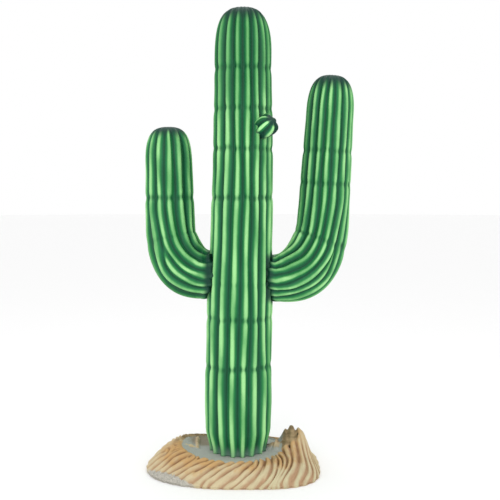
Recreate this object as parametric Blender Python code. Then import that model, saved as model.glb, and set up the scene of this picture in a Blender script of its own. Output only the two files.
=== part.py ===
"""Moulded display cactus with two arms and a bud, on a sculpted sandstone base.

Metres, +Z up. The origin is on the flat underside of the base, under the foot
of the trunk. +X is the cactus's right arm as seen from the front, and the
front looks toward -Y.
"""

import math

import bmesh
import bpy
from mathutils import Vector

# Overall sizes
CACTUS_HEIGHT = 2.146
SEAM_GAP = 0.0003
SEGMENTS_PER_RIB = 4
DOME_ROWS = 6

# How narrow the rib crests are, and how blunt the domed tips are
CREST_SHARPNESS = 1.5
DOME_BLUNTNESS = 2.0 / 3.0

# Trunk: height and radius of each station, from the foot to the shoulder
FOOT_HEIGHT = 0.0875
TRUNK_GIRTH = (
    (FOOT_HEIGHT, 0.136),
    (0.20, 0.155),
    (0.34, 0.159),
    (0.54, 0.154),
    (0.80, 0.155),
    (1.10, 0.145),
    (1.50, 0.1385),
    (1.90, 0.131),
)
TRUNK_DOME = 0.250
TRUNK_LEAN = 0.024
TRUNK_LEAN_FROM = 0.25
TRUNK_LEAN_TO = 1.65
TRUNK_RIBS = 17
TRUNK_RIB_DEPTH = 0.014
TRUNK_RIB_CROWDING = 0.16
TRUNK_WAISTS = (0.481, 0.696, 0.886, 1.281, 1.503, 1.684, 1.866)
TRUNK_FOOT_ROWS = (FOOT_HEIGHT, 0.14, 0.20, 0.34)

# The waists that pinch every limb between one season's growth and the next
WAIST_DEPTH = 0.0035
WAIST_REACH = 0.018

# Arms: the bend is an arc in an upright plane through the trunk
LEFT_ARM = {
    "name": "left_arm",
    "direction": math.radians(180.0 - 13.0),
    "bend_out": 0.109,
    "bend_height": 1.145,
    "bend_radius": 0.222,
    "lean": math.radians(1.0),
    "top": 1.612,
    "dome": 0.200,
    "ribs": 13,
    "first_rib": math.radians(-3.2),
    "rib_depth": 0.013,
    "radius_at_trunk": 0.115,
    "radius_in_bend": 0.134,
    "radius_above_bend": 0.118,
    "radius_at_shoulder": 0.111,
    "waists": (1.279,),
}
RIGHT_ARM = {
    "name": "right_arm",
    "direction": math.radians(10.0),
    "bend_out": 0.137,
    "bend_height": 1.180,
    "bend_radius": 0.272,
    "lean": math.radians(3.4),
    "top": 1.852,
    "dome": 0.210,
    "ribs": 16,
    "first_rib": math.radians(13.7),
    "rib_depth": 0.013,
    "radius_at_trunk": 0.110,
    "radius_in_bend": 0.138,
    "radius_above_bend": 0.123,
    "radius_at_shoulder": 0.112,
    "waists": (1.344, 1.497),
}
ARM_JOINT_FLATTENING = 0.13
BEND_CORNER = 0.10
BEND_CORNER_LOWERING = 0.66
BEND_ROWS = 8

# Bud: a short barrel on the front right of the trunk
BUD_HEIGHT = 1.590
BUD_SIDE_ANGLE = math.radians(46.5)
BUD_RISE_ANGLE = math.radians(33.0)
BUD_RADIUS = 0.054
BUD_LENGTH = 0.070
BUD_RIBS = 6
BUD_FIRST_RIB = math.radians(18.0)
BUD_SEGMENTS_PER_RIB = 6
BUD_RIB_DEPTH = 0.012
BUD_ROOT = 0.050
BUD_ROOT_WIDTH = 0.55
BUD_SEAT_WIDTH = 0.94
BUD_BARREL_SHARE = 0.3

# Base: reach from the origin to each side, and the heights across it
BASE_LEFT = 0.436
BASE_RIGHT = 0.386
BASE_FRONT = 0.302
BASE_BACK = 0.290
BASE_SQUARENESS_LEFT = 2.3
BASE_SQUARENESS_RIGHT = 3.3
BASE_EDGE_HEIGHT = 0.010
RIDGES = 54
RIDGE_HEIGHT = 0.012
RIDGE_MIDDLE = 0.7
RIDGE_SHARE_AT_EDGE = 0.15
RIDGE_SHARE_SPAN = 0.75
# Turn of the ridges between the ground and the rim, by the side where they start, in degrees
SWIRL = (
    (-165.0, -4.0),
    (-105.0, 36.0),
    (-35.0, 64.0),
    (40.0, 46.0),
    (120.0, 12.0),
    (195.0, -4.0),
)
SWIRL_BEND = 1.5
HOLLOW_CENTRE_X = -0.036
HOLLOW_HALF_WIDTH = 0.256
HOLLOW_HALF_DEPTH = 0.205
HOLLOW_SINK = 0.006
HOLLOW_STEEPNESS = 3
FLOOR_RADIUS = 0.150
RIM_HEIGHT = 0.094
RIM_SHARE = 0.97
FRONT_DIP = 0.005
LEFT_RISE = 0.028
LEFT_RISE_SPREAD = math.radians(55.0)
PEAK_RISE = 0.091
PEAK_X = 0.274
PEAK_Y = 0.050
PEAK_HALF_WIDTH = 0.066
PEAK_HALF_DEPTH = 0.075
# Notches between the teeth that the ridges end in on the peak
NOTCHES_X = (0.238, 0.270, 0.303)
NOTCH_DEPTH = 0.009
NOTCH_HALF_WIDTH = 0.0075
NOTCH_PEAK_GAIN = 2.0
NOTCH_PEAK_FROM = 0.7
SLOPE_STEEPNESS = 1.5
RIGHT_STEEPNESS = 1.9


def clear_scene():
    """Remove every object and mesh that the file opens with."""
    for item in list(bpy.data.objects):
        bpy.data.objects.remove(item, do_unlink=True)
    for mesh in list(bpy.data.meshes):
        bpy.data.meshes.remove(mesh)


def make_collection(name):
    """A new collection under the scene."""
    collection = bpy.data.collections.new(name)
    bpy.context.scene.collection.children.link(collection)
    return collection


def make_material(name, colour, roughness):
    """A plain Principled material."""
    material = bpy.data.materials.new(name)
    material.use_nodes = True
    shader = material.node_tree.nodes["Principled BSDF"]
    shader.inputs["Base Color"].default_value = (*colour, 1.0)
    shader.inputs["Roughness"].default_value = roughness
    shader.inputs["Metallic"].default_value = 0.0
    material.diffuse_color = (*colour, 1.0)
    return material


def ease(value):
    """A smooth step from 0 to 1."""
    value = min(max(value, 0.0), 1.0)
    return value * value * (3.0 - 2.0 * value)


def eased_profile(place, stations):
    """Read a value from (place, value) stations, eased between them."""
    if place <= stations[0][0]:
        return stations[0][1]
    for (low, low_value), (high, high_value) in zip(stations, stations[1:]):
        if place <= high:
            share = ease((place - low) / (high - low))
            return low_value + (high_value - low_value) * share
    return stations[-1][1]


def rib_relief(turn, depth):
    """Drop from a crest at whole turns: narrow round crests and wide grooves."""
    wave = 0.5 + 0.5 * math.cos(math.tau * turn)
    return depth * (wave ** CREST_SHARPNESS - 1.0)


def waist_relief(place, waists):
    """Drop into each waist that lies near this place along a limb."""
    return -sum(WAIST_DEPTH * math.exp(-((place - waist) / WAIST_REACH) ** 2) for waist in waists)


def dome_step(share):
    """Height and width shares of a blunt dome, from its foot at 0 to its tip at 1."""
    sweep = share * math.pi / 2.0
    rise = max(math.sin(sweep), 0.0) ** DOME_BLUNTNESS
    width = max(math.cos(sweep), 0.0) ** DOME_BLUNTNESS
    return rise, width if share < 1.0 else 0.0


def with_swells(places):
    """Each place, and the middle of each stretch between two of them."""
    rows = [places[0]]
    for low, high in zip(places, places[1:]):
        rows.append((low + high) / 2.0)
        rows.append(high)
    return rows


def make_ribbed_body(name, collection, material, columns, rows, surface_point):
    """Bend a flat grid round a limb, close its seam and fill its open ends.

    surface_point takes a column and a row number and gives a point. A row
    whose points all meet becomes a single tip.
    """
    mesh = bpy.data.meshes.new(name)
    shape = bmesh.new()
    bmesh.ops.create_grid(shape, x_segments=columns, y_segments=rows - 1, size=0.5)
    for vertex in shape.verts:
        column = round((vertex.co.x + 0.5) * columns)
        row = round((vertex.co.y + 0.5) * (rows - 1))
        vertex.co = surface_point(column % columns, row)
    bmesh.ops.remove_doubles(shape, verts=shape.verts, dist=0.00001)
    open_edges = [edge for edge in shape.edges if edge.is_boundary]
    if open_edges:
        bmesh.ops.holes_fill(shape, edges=open_edges, sides=0)
    bmesh.ops.recalc_face_normals(shape, faces=shape.faces)
    shape.to_mesh(mesh)
    shape.free()
    mesh.materials.append(material)
    body = bpy.data.objects.new(name, mesh)
    collection.objects.link(body)
    mesh.shade_smooth()
    mesh.set_sharp_from_angle(angle=math.radians(50.0))
    return body


def cut_body(body, cutter):
    """Cut one body with another."""
    cut = body.modifiers.new("seat against the trunk", "BOOLEAN")
    cut.operation = "DIFFERENCE"
    cut.solver = "EXACT"
    cut.object = cutter


def trunk_centre(height):
    """Centre of the trunk at a height: it leans slightly to the right."""
    share = (height - TRUNK_LEAN_FROM) / (TRUNK_LEAN_TO - TRUNK_LEAN_FROM)
    return Vector((TRUNK_LEAN * ease(share), 0.0, height))


def trunk_angle(turn):
    """Angle from the front of a place counted in ribs, closer together on the right."""
    even = math.tau * turn / TRUNK_RIBS
    angle = even
    for _ in range(12):
        angle = even + TRUNK_RIB_CROWDING * (math.cos(angle) - 1.0)
    return angle


def trunk_rows():
    """Height and dome width of each row of the trunk, from foot to tip."""
    shoulder = CACTUS_HEIGHT - TRUNK_DOME
    places = with_swells(TRUNK_FOOT_ROWS[-1:] + TRUNK_WAISTS)
    rows = [(height, 1.0) for height in list(TRUNK_FOOT_ROWS[:-1]) + places]
    for step in range(DOME_ROWS + 1):
        rise, width = dome_step(step / DOME_ROWS)
        rows.append((shoulder + TRUNK_DOME * rise, width))
    return rows


def make_trunk(name, collection, material, margin=0.0):
    """The trunk, or a copy that is larger by a margin all round."""
    rows = trunk_rows()

    def surface_point(column, row):
        height, width = rows[row]
        crest = column / SEGMENTS_PER_RIB
        radius = eased_profile(height, TRUNK_GIRTH) + waist_relief(height, TRUNK_WAISTS)
        radius = (radius + rib_relief(crest, TRUNK_RIB_DEPTH)) * width
        if width > 0.0:
            radius += margin
        angle = trunk_angle(crest - 0.5)
        outward = Vector((math.sin(angle), -math.cos(angle), 0.0))
        return trunk_centre(height) + outward * radius

    columns = TRUNK_RIBS * SEGMENTS_PER_RIB
    return make_ribbed_body(name, collection, material, columns, len(rows), surface_point)


def arm_frame(arm):
    """Directions away from the trunk and toward the front, for one arm."""
    outward = Vector((math.cos(arm["direction"]), math.sin(arm["direction"]), 0.0))
    frontward = Vector((outward.y, -outward.x, 0.0))
    if frontward.y > 0.0:
        frontward = -frontward
    return outward, frontward


def arm_place(arm, sweep, climb):
    """Centre, outer side of the bend and upward direction at a place on an arm.

    sweep runs through the bend, from 0 where the arm is level to 1 where it
    is upright. climb is the distance above the bend.
    """
    outward, _ = arm_frame(arm)
    up = Vector((0.0, 0.0, 1.0))
    turned = sweep * (math.pi / 2.0 - arm["lean"])
    centre = outward * arm["bend_out"] + up * arm["bend_height"]
    outer_side = outward * math.sin(turned) - up * math.cos(turned)
    along = outward * math.cos(turned) + up * math.sin(turned)
    corner = BEND_CORNER * math.sin(math.pi * sweep ** BEND_CORNER_LOWERING) ** 2
    radius = arm["bend_radius"] * (1.0 + corner)
    place = centre + outer_side * radius + along * climb
    return place, outer_side, along


def arm_climb(arm):
    """Length of the upright from the bend to the tip."""
    start, _, along = arm_place(arm, 1.0, 0.0)
    return (arm["top"] - start.z) / along.z


def arm_section(arm, turn, radius, flattening=0.0):
    """Offset from an arm's centre: to the outer side, and to the front."""
    angle = arm["first_rib"] + math.tau * turn / arm["ribs"]
    reach = radius + rib_relief(turn, arm["rib_depth"]) * radius / arm["radius_in_bend"]
    return reach * math.cos(angle), reach * math.sin(angle) * (1.0 - flattening)


def make_elbow(arm, collection, material, trunk_cutter):
    """The bend of an arm, from inside the trunk to where it stands upright."""
    _, frontward = arm_frame(arm)
    root = -arm["bend_out"]
    girth = (
        (0.0, arm["radius_at_trunk"]),
        (0.5, arm["radius_in_bend"]),
        (1.0, arm["radius_above_bend"]),
    )

    def surface_point(column, row):
        sweep = max(row - 1, 0) / BEND_ROWS
        lead = root if row == 0 else 0.0
        place, outer_side, _ = arm_place(arm, sweep, lead)
        flattening = ARM_JOINT_FLATTENING * (1.0 - ease(sweep))
        turn = column / SEGMENTS_PER_RIB
        out, front = arm_section(arm, turn, eased_profile(sweep, girth), flattening)
        return place + outer_side * out + frontward * front

    columns = arm["ribs"] * SEGMENTS_PER_RIB
    name = arm["name"] + "_elbow"
    elbow = make_ribbed_body(name, collection, material, columns, BEND_ROWS + 2, surface_point)
    cut_body(elbow, trunk_cutter)
    return elbow


def upright_rows(arm):
    """Climb and dome width of each row of an upright, from its seat to its tip."""
    full = arm_climb(arm)
    shoulder = full - arm["dome"]
    start, _, along = arm_place(arm, 1.0, 0.0)
    waists = [(height - start.z) / along.z for height in arm["waists"]]
    rows = [(climb, 1.0) for climb in with_swells([SEAM_GAP] + waists + [shoulder])[:-1]]
    for step in range(DOME_ROWS + 1):
        rise, width = dome_step(step / DOME_ROWS)
        rows.append((shoulder + arm["dome"] * rise, width))
    return rows, waists, shoulder


def make_upright(arm, collection, material):
    """The standing part of an arm, with its domed tip."""
    _, frontward = arm_frame(arm)
    rows, waists, shoulder = upright_rows(arm)

    def surface_point(column, row):
        climb, width = rows[row]
        place, outer_side, _ = arm_place(arm, 1.0, climb)
        taper = min(climb / shoulder, 1.0)
        radius = arm["radius_above_bend"]
        radius += (arm["radius_at_shoulder"] - radius) * taper
        radius = (radius + waist_relief(climb, waists)) * width
        out, front = arm_section(arm, column / SEGMENTS_PER_RIB, radius)
        return place + outer_side * out + frontward * front

    columns = arm["ribs"] * SEGMENTS_PER_RIB
    name = arm["name"] + "_upright"
    return make_ribbed_body(name, collection, material, columns, len(rows), surface_point)


def make_bud(collection, material, trunk_cutter):
    """The bud, with its root cut to the trunk."""
    outward = Vector((math.sin(BUD_SIDE_ANGLE), -math.cos(BUD_SIDE_ANGLE), 0.0))
    up = Vector((0.0, 0.0, 1.0))
    axis = outward * math.cos(BUD_RISE_ANGLE) + up * math.sin(BUD_RISE_ANGLE)
    sideways = up.cross(outward).normalized()
    upper = axis.cross(sideways).normalized()
    trunk_reach = eased_profile(BUD_HEIGHT, TRUNK_GIRTH) - TRUNK_RIB_DEPTH
    seat = trunk_centre(BUD_HEIGHT) + outward * trunk_reach
    rows = [(-BUD_ROOT, BUD_ROOT_WIDTH), (0.0, BUD_SEAT_WIDTH)]
    for step in range(DOME_ROWS + 1):
        rise, width = dome_step(step / DOME_ROWS)
        share = BUD_BARREL_SHARE + (1.0 - BUD_BARREL_SHARE) * rise
        rows.append((BUD_LENGTH * share, width))

    def surface_point(column, row):
        climb, width = rows[row]
        turn = column / BUD_SEGMENTS_PER_RIB
        angle = BUD_FIRST_RIB + math.tau * turn / BUD_RIBS
        radius = (BUD_RADIUS + rib_relief(turn, BUD_RIB_DEPTH)) * width
        spoke = sideways * math.cos(angle) + upper * math.sin(angle)
        return seat + axis * climb + spoke * radius

    columns = BUD_RIBS * BUD_SEGMENTS_PER_RIB
    bud = make_ribbed_body("bud", collection, material, columns, len(rows), surface_point)
    cut_body(bud, trunk_cutter)
    return bud


def oval_reach(angle, along_x, along_y, squareness):
    """Distance from the middle of an oval to its edge, in one direction."""
    x_share = abs(math.cos(angle)) / along_x
    y_share = abs(math.sin(angle)) / along_y
    return (x_share ** squareness + y_share ** squareness) ** (-1.0 / squareness)


def base_edge(angle):
    """Point on the ground outline of the base."""
    on_left = math.cos(angle) < 0.0
    along_x = BASE_LEFT if on_left else BASE_RIGHT
    along_y = BASE_FRONT if math.sin(angle) < 0.0 else BASE_BACK
    squareness = BASE_SQUARENESS_LEFT if on_left else BASE_SQUARENESS_RIGHT
    reach = oval_reach(angle, along_x, along_y, squareness)
    return Vector((reach * math.cos(angle), reach * math.sin(angle), 0.0))


def hollow_edge(angle, share=1.0):
    """Point on the rim of the hollow, or on a smaller ring between it and the floor."""
    reach = oval_reach(angle, HOLLOW_HALF_WIDTH, HOLLOW_HALF_DEPTH, 2.0)
    reach = FLOOR_RADIUS + (reach - FLOOR_RADIUS) * share
    return Vector((HOLLOW_CENTRE_X * share + reach * math.cos(angle), reach * math.sin(angle), 0.0))


def rim_height(angle):
    """Height of the rim, which is higher on the left and lower in front."""
    from_left = math.remainder(angle - math.pi, math.tau)
    rise = LEFT_RISE * math.exp(-(from_left / LEFT_RISE_SPREAD) ** 2)
    return RIM_HEIGHT + rise - FRONT_DIP * max(-math.sin(angle), 0.0)


def peak_height(point):
    """Height that the peak on the right adds, steep on both sides."""
    across = ((point.x - PEAK_X) / PEAK_HALF_WIDTH) ** 4
    along = ((point.y - PEAK_Y) / PEAK_HALF_DEPTH) ** 2
    return PEAK_RISE * math.exp(-across - along)


def notch_depth(point):
    """Depth of the notches between the teeth, on top of the peak only."""
    on_peak = ease(peak_height(point) / PEAK_RISE * NOTCH_PEAK_GAIN - NOTCH_PEAK_FROM)
    notch = sum(math.exp(-((point.x - place) / NOTCH_HALF_WIDTH) ** 2) for place in NOTCHES_X)
    return NOTCH_DEPTH * on_peak * notch


def ridge_line(start, share):
    """Angle and point that a ridge line has come to, on its way from the ground to the rim."""
    side = math.degrees(start)
    if side > SWIRL[-1][0]:
        side -= 360.0
    angle = start + math.radians(eased_profile(side, SWIRL)) * share ** SWIRL_BEND
    return angle, base_edge(angle).lerp(hollow_edge(angle), share)


def base_rows():
    """What each row of the base is, from the underside's edge to the middle.

    Each row gives its kind, and how far it lies from the ground outline to
    the rim, or from the rim to the floor.
    """
    return (
        ("edge", 0.0),
        ("slope", 0.0),
        ("slope", 0.14),
        ("slope", 0.30),
        ("slope", 0.42),
        ("slope", 0.50),
        ("slope", 0.60),
        ("slope", 0.70),
        ("slope", 0.795),
        ("slope", 0.89),
        ("slope", RIM_SHARE),
        ("hollow", 0.75),
        ("hollow", 0.35),
        ("floor", 0.0),
        ("middle", 0.0),
    )


def make_base(collection, material):
    """The sculpted base: ridges that swirl down from the rim of the hollow."""
    rows = base_rows()
    floor = FOOT_HEIGHT - SEAM_GAP

    def surface_point(column, row):
        kind, share = rows[row]
        turn = column / SEGMENTS_PER_RIB
        start = math.tau * turn / RIDGES
        if kind == "edge":
            return base_edge(start)
        if kind == "slope":
            angle, point = ridge_line(start, share)
            top = rim_height(angle)
            on_right = max(math.cos(angle), 0.0) ** 2
            steepness = SLOPE_STEEPNESS + (RIGHT_STEEPNESS - SLOPE_STEEPNESS) * on_right
            climb = 1.0 - (1.0 - share) ** steepness
            point.z = BASE_EDGE_HEIGHT + (top - BASE_EDGE_HEIGHT) * climb
            ridge = 0.5 + 0.5 * math.cos(math.tau * turn)
            fullness = math.sin(math.pi * (RIDGE_SHARE_AT_EDGE + RIDGE_SHARE_SPAN * share))
            point.z += RIDGE_HEIGHT * (ridge - RIDGE_MIDDLE) * fullness
            point.z += peak_height(point) - notch_depth(point)
            return point
        inner_angle, _ = ridge_line(start, 1.0)
        if kind == "hollow":
            point = hollow_edge(inner_angle, share)
            point.z = floor + (rim_height(inner_angle) - floor) * share ** HOLLOW_STEEPNESS
            point.z -= HOLLOW_SINK * math.sin(math.pi * share)
            return point
        if kind == "floor":
            point = hollow_edge(inner_angle, 0.0)
            point.z = floor
            return point
        return Vector((0.0, 0.0, floor))

    columns = RIDGES * SEGMENTS_PER_RIB
    return make_ribbed_body("base", collection, material, columns, len(rows), surface_point)


def hide_cutter(cutter):
    """Keep a cutter out of renders."""
    cutter.hide_render = True
    cutter.display_type = "WIRE"


def main():
    """Build every part of the cactus."""
    clear_scene()
    parts = make_collection("display cactus")
    cutters = make_collection("cutters")
    skin = make_material("cactus skin", (0.10, 0.36, 0.14), 0.38)
    stone = make_material("sandstone", (0.62, 0.42, 0.25), 0.75)
    trunk_cutter = make_trunk("trunk cutter", cutters, skin, margin=SEAM_GAP)
    hide_cutter(trunk_cutter)
    make_trunk("trunk", parts, skin)
    for arm in (LEFT_ARM, RIGHT_ARM):
        make_elbow(arm, parts, skin, trunk_cutter)
        make_upright(arm, parts, skin)
    make_bud(parts, skin, trunk_cutter)
    make_base(parts, stone)


if __name__ == "__main__":
    main()
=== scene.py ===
"""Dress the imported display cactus: airbrushed ribbed limbs on a carved sandstone base.

Metres, +Z up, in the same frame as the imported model. The front looks toward -Y.
"""

from math import cos, pi, radians, sin, tau
from types import SimpleNamespace

import bmesh
import bpy
import numpy as np
from bpy.props import FloatProperty, FloatVectorProperty, PointerProperty
from bpy.types import Operator, Panel, PropertyGroup
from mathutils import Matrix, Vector


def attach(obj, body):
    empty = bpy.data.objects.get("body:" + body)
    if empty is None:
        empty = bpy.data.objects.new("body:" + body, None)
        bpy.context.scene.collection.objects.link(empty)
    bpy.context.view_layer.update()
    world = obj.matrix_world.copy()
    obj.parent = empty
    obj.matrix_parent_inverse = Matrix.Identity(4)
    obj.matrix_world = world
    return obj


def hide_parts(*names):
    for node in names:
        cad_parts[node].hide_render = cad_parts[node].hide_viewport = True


bl_info = {
    "name": "Display Cactus Finish",
    "version": (1, 0, 0),
    "blender": (4, 5, 0),
    "location": "3D View > Sidebar > Cactus",
    "description": "Ribbed, airbrushed limbs and a carved sandstone base for the packed cactus",
    "category": "Object",
}

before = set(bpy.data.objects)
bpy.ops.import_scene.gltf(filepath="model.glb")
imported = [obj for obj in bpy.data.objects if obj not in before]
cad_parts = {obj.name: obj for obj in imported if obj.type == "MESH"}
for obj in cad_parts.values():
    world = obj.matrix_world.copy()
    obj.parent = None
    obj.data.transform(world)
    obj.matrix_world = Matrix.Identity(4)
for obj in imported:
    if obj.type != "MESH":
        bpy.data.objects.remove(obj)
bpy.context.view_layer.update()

UPWARD = np.array([0.0, 0.0, 1.0])

# Trunk: height and radius of each station, from the foot to the shoulder
FOOT_HEIGHT = 0.0875
TRUNK_TOP = 2.146
TRUNK_GIRTH = (
    (FOOT_HEIGHT, 0.136), (0.2, 0.155), (0.34, 0.159), (0.54, 0.154),
    (0.8, 0.155), (1.1, 0.145), (1.5, 0.1385), (1.9, 0.131),
)
TRUNK_DOME = 0.25
TRUNK_TIP_REACH = 0.11
TRUNK_LEAN = 0.024
LEAN_HEIGHTS = (0.25, 1.65)
TRUNK_RIBS = 17
RIB_CROWDING = 0.16
# Low on the right, the ribs turn further round the trunk
LOW_TWIST = 0.11
LOW_TWIST_SETS_IN = (0.5, 0.9)
LOW_TWIST_ENDS = (2.6, 1.6)
LOW_TWIST_HEIGHTS = (0.75, 0.35)
# Each waist: its height and how strongly it pinches
TRUNK_WAISTS = (
    (0.497, 1), (0.724, 0.9), (0.886, 0.35), (1.281, 1),
    (1.503, 0.85), (1.684, 0.8), (1.866, 0.85),
)
# Thin paint near the trunk's top, and painted shade on its flanks and low on its right: how much, and the
# heights between which it sets in
TOP_DIMNESS = (1.1, 1.6, 1.9)
FLANK_SHADE = (1.5, 1.25, 1.45)
LOW_RIGHT_SHADE = (1.3, 0.75, 0.55)
# The same for painted shade low on the right flank and for dust
FOOT_SHADE = (0.8, 0.16, 0.11)
DUST = (1, FOOT_HEIGHT + 0.055, FOOT_HEIGHT)
# The flanks begin between these sines of the angle from the front
FLANK_SINES = (0.9, 0.97)

# The radii are at the trunk, in the bend, above it and at the shoulder. At each of
# TURN_PLACES, rib_turns tells how far a rib turns round its arm, in degrees, and
# rib_tones_and_shade how bright it is: partly its own tone, partly painted shade near the
# inner corner. One gap holds an extra rib up to split_from, and split_share tells where
# it parts from its neighbour.
LEFT_ARM = SimpleNamespace(
    name="left_arm", direction=radians(167), lean=radians(1),
    bend_out=0.109, bend_height=1.145, bend_radius=0.222,
    top=1.612, dome=0.2, tip_reach=0.074,
    radii=(0.115, 0.134, 0.118, 0.111),
    ribs=13, first_rib=radians(-3.2),
    rib_turns={
        0: (-3, -2.5, -1.2, 0, 2, 3, 2, 0),
        1: (-6, -5, -2.5, 0, 6, 8, 5, 0),
        2: (-4.5, -3.5, -1, 2, 3.5, 14, 15, 3),
        3: (10.5, 13.5, 16.5, 19, 21, 16.5, 12, 2),
        4: (11, 12.2, 14.5, 18, 15, 11, 8.5, 1),
        5: (13, 13, 13.5, 11.5, 9.7, 9, 9, 1.5),
        6: (12, 12.5, 13.5, 14, 4.5, 5.5, 6, 6),
        7: (7, 7, 7, 7, 2, 2.5, 3, 3),
    },
    rib_tones_and_shade={
        5: (-3, -3, -3, -1.6, -1.8, -1.1, 0, 0),
        6: (-1.5, -1.5, -1.5, -1, -0.5, 0.6, 0.3, 0),
    },
    split_gap=2, split_from=0.78, split_share=(0.46, 0.48, 0.535, 0.59, 0.6, 0.6, 0.6, 0.6),
    waists=((1.279, 1),), bend_waists=((0.86, 0.5),),
    inner_shade=0.3, under_shade=2, shade_from=0.12, trunk_shade=0.4,
    seed=5,
)
RIGHT_ARM = SimpleNamespace(
    name="right_arm", direction=radians(10), lean=radians(3.4),
    bend_out=0.137, bend_height=1.18, bend_radius=0.272,
    top=1.852, dome=0.21, tip_reach=0.112,
    radii=(0.11, 0.138, 0.123, 0.112),
    ribs=16, first_rib=radians(13.7),
    rib_turns={
        0: (-5, -4, -2, 0, 4, 6, 4, 0),
        1: (-8, -5.5, -2, 2.5, 5, 18, 15, 3),
        2: (6, 9.5, 14, 18, 17, 12, 12, 0),
        3: (7, 10.5, 14, 16, 13.5, 12, 10, 0.5),
        4: (11, 15, 18.5, 20, 12.5, 9, 7, 2),
        5: (9, 13, 17, 18, 9.5, 5.5, 5, 1.5),
        6: (10, 15.5, 21, 22, 11, 8.5, 7, 1),
        7: (7, 11.5, 16, 17, 9, 5, 4, 1),
        8: (3, 6, 9, 10, 5, 2, 2, 1),
        9: (0, 2, 5, 5, 2, 0, 0, 0),
    },
    rib_tones_and_shade={4: (0, 0, -0.4, -0.8, -0.7, -0.3, 0, 0)},
    split_gap=1, split_from=0.84, split_share=(0.5, 0.5, 0.54, 0.57, 0.66, 0.74, 0.74, 0.74),
    waists=((1.344, 0.8), (1.497, 0.8)), bend_waists=((0.8, 0.85),),
    inner_shade=1.5, under_shade=0.4, shade_from=0.126, trunk_shade=0.8,
    seed=11,
)
JOINT_FLATTENING = 0.13
# A bend starts inside the trunk, and its outer corner is fuller than an arc
BEND_START = -0.1
BEND_CORNER = 0.1
CORNER_LOWERING = 0.66
# Painted shade on an arm's inner side and underside: cosines of the angle from its underside, and bend
# lengths
INNER_COSINES = (-0.86, -0.96)
INNER_PLACES = (0.6, 1.6)
UNDER_COSINES = (0.7, 0.85)
UNDER_PLACES = (1, 0.6)
# The filled seam where an arm meets the trunk
SEAM_FLARE = 0.012
SEAM_REACH = 0.042
SEAM_FULLNESS = 2.5
SEAM_TUCK = 0.01
SEAM_INSIDE = (-0.005, -0.017)
# Dark paint and painted shade at the seam: its strength on the arm, and its reach on both limbs
JOINT_SHADE = (0.8, 0.034, -0.002)
TRUNK_JOINT_SHADE = (0.032, -0.002)
TRUNK_JOINT_OUT = (0.085, 0.115)
# The band of it that ends square across the arm
ROOT_SHADE = 0.85
ROOT_SHADE_WIDTH = 0.034
# Counted in bend lengths
TURN_PLACES = (0.05, 0.12, 0.2, 0.3, 0.5, 0.7, 0.9, 1.3)
SPLIT_FADE = 0.22

# Ribs, waists and skin of the limbs
RIB_SHARPNESS = 1.25
WAIST_SHARPENING = 0.9
PINCH_LIMIT = 1.3
WAIST_SHIFT = 0.008
GROOVE_PINCH = 0.45
ARM_RIB_SHARE = 0.93
TRUNK_SWELLING = 0.001
ARM_SWELLING = 0.0008
TRUNK_UNEVENNESS = 0.0012
ARM_UNEVENNESS = 0.001
ARM_DIMNESS = 0.2
TIP_UNEVENNESS = 0.42
# Rows and columns of the meshes
TRUNK_ROWS = 236
TRUNK_RIB_COLUMNS = 14
ARM_ROW_HEIGHT = 0.0075
BEND_ROWS = 64
RIB_COLUMNS = 20
TRUNK_DOME_ROWS, ARM_DOME_ROWS, BUD_DOME_ROWS = 52, 46, 40
BUD_ROOT_ROWS = 10
EDGE_ROWS, SLOPE_ROWS, HOLLOW_ROWS, FLOOR_ROWS = 4, 62, 32, 8
RIDGE_COLUMNS = 20

# Bud: a short barrel on the front right of the trunk, with its root inside the trunk
BUD_HEIGHT = 1.59
BUD_SIDE_ANGLE = radians(46.5)
BUD_RISE_ANGLE = radians(33)
BUD_RADIUS = 0.054
BUD_RIB_DEPTH = 0.012
BUD_LENGTH = 0.07
BUD_FOOT_SHARE = 0.3
BUD_ROOT = 0.03
BUD_ROOT_WIDTHS = (0.7, 0.94)
BUD_SINK = 0.014
BUD_RIBS = 6
BUD_RIB_ANGLES = (18, 84, 150, 199, 258, 318, 378)
BUD_RIB_THINNING = (1.7, 1.7, 2.2, 3.2, 1.7, 1.7)
# Tone of each rib; the 3 is a painted highlight on the middle rib
BUD_RIB_TONES_AND_HIGHLIGHT = (-0.5, -0.5, 0, 3, 0.6, -0.5)

# Base: reach from the origin to each side, and the heights across it
BASE_LEFT = 0.436
BASE_RIGHT = 0.386
BASE_FRONT = 0.302
BASE_BACK = 0.29
SQUARENESS_LEFT = 2.3
SQUARENESS_RIGHT = 3.3
EDGE_HEIGHT = 0.01
# Each ridge: its angles at the ground and at the rim, and how late it turns on the way up
RIDGES = (
    (-161, -155, 1), (-157, -146, 1), (-153, -136, 1), (-149, -123, 1.1),
    (-142, -114, 1.2), (-133.5, -103.5, 1.3), (-122.5, -88.5, 1.5), (-116.5, -75.5, 1.6),
    (-110, -64.5, 1.25), (-98, -56, 1), (-91, -49, 1), (-78.5, -40, 1.05),
    (-70, -32, 1), (-65, -26.5, 1.05), (-61.5, -18, 1.25), (-58, -3, 1.5),
    (-53, 22, 1.8), (-46, 50, 1.5), (-39, 66, 1.3), (-31, 78, 1.1),
    (-23, 88, 1), (-14, 95, 1), (-5, 100, 1), (5, 105, 1),
    (16, 110, 1), (28, 116, 1), (40, 121, 1), (52, 126, 1),
    (60, 130, 1), (68, 135, 1), (76, 139, 1), (85, 144, 1),
    (93, 148, 1), (101, 152, 1), (109, 157, 1), (117, 161, 1),
    (126, 166, 1), (134, 170, 1), (142, 174, 1), (150, 179, 1),
    (158, 183, 1), (166, 187, 1), (174, 192, 1), (183, 196, 1),
    (191, 201, 1),
)
# How far the ridges wander, counted in ridges
LONG_WANDER = 0.16
SHORT_WANDER = 0.08
# Ridges merge where they lie this close, in degrees
MERGING_PITCHES = (1.5, 5.5)
RIDGE_MEAN = 0.85
STREAK_HEIGHT = 0.0012
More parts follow.
